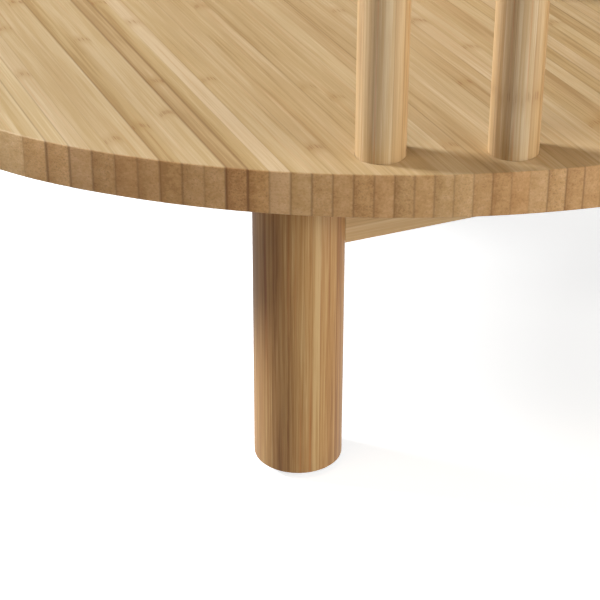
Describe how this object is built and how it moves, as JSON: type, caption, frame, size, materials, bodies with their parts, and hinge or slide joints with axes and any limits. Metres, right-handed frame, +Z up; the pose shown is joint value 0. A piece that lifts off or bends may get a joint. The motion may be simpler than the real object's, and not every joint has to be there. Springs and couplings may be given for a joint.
{
  "type": "mug tree",
  "caption": "Bamboo mug tree: oval tray on short dowel legs with front and back spindle galleries, and a central post with tilted pegs for hanging mugs.",
  "frame": {"origin": "on the ground, under the middle of the oval tray", "axes": "+Z up along the trunk; +X to the right along the tray's long side, across the bamboo strips; -Y to the front gallery"},
  "size_m": [0.314, 0.2428, 0.3906],
  "materials": {
    "tray_bamboo": "vertically laminated bamboo, clear satin lacquer",
    "dowel_bamboo": "bamboo dowel with long fine fibres, clear satin lacquer",
    "rail_bamboo": "sawn bamboo strip, clear satin lacquer",
    "steel": "zinc-plated fasteners",
    "pad_rubber": "matt dark rubber"
  },
  "bodies": {
    "root": {"base_board": "tray_bamboo", "cap_rail_back": "rail_bamboo", "cap_rail_front": "rail_bamboo", "foot_pad_back_left": "pad_rubber", "foot_pad_back_right": "pad_rubber", "foot_pad_front_left": "pad_rubber", "foot_pad_front_right": "pad_rubber", "leg_back_left": "dowel_bamboo", "leg_back_right": "dowel_bamboo", "leg_front_left": "dowel_bamboo", "leg_front_right": "dowel_bamboo", "peg_1": "dowel_bamboo", "peg_2": "dowel_bamboo", "peg_3": "dowel_bamboo", "peg_4": "dowel_bamboo", "peg_5": "dowel_bamboo", "peg_6": "dowel_bamboo", "peg_7": "dowel_bamboo", "peg_8": "dowel_bamboo", "rail_back": "rail_bamboo", "rail_front": "rail_bamboo", "rail_screw_1": "steel", "rail_screw_2": "steel", "rail_screw_3": "steel", "rail_screw_4": "steel", "spindle_back_1": "dowel_bamboo", "spindle_back_2": "dowel_bamboo", "spindle_back_3": "dowel_bamboo", "spindle_back_4": "dowel_bamboo", "spindle_back_5": "dowel_bamboo", "spindle_back_6": "dowel_bamboo", "spindle_front_1": "dowel_bamboo", "spindle_front_2": "dowel_bamboo", "spindle_front_3": "dowel_bamboo", "spindle_front_4": "dowel_bamboo", "spindle_front_5": "dowel_bamboo", "spindle_front_6": "dowel_bamboo", "trunk": "dowel_bamboo", "trunk_bolt": "steel", "trunk_insert": "steel", "trunk_washer": "steel"}
  },
  "joints": []
}
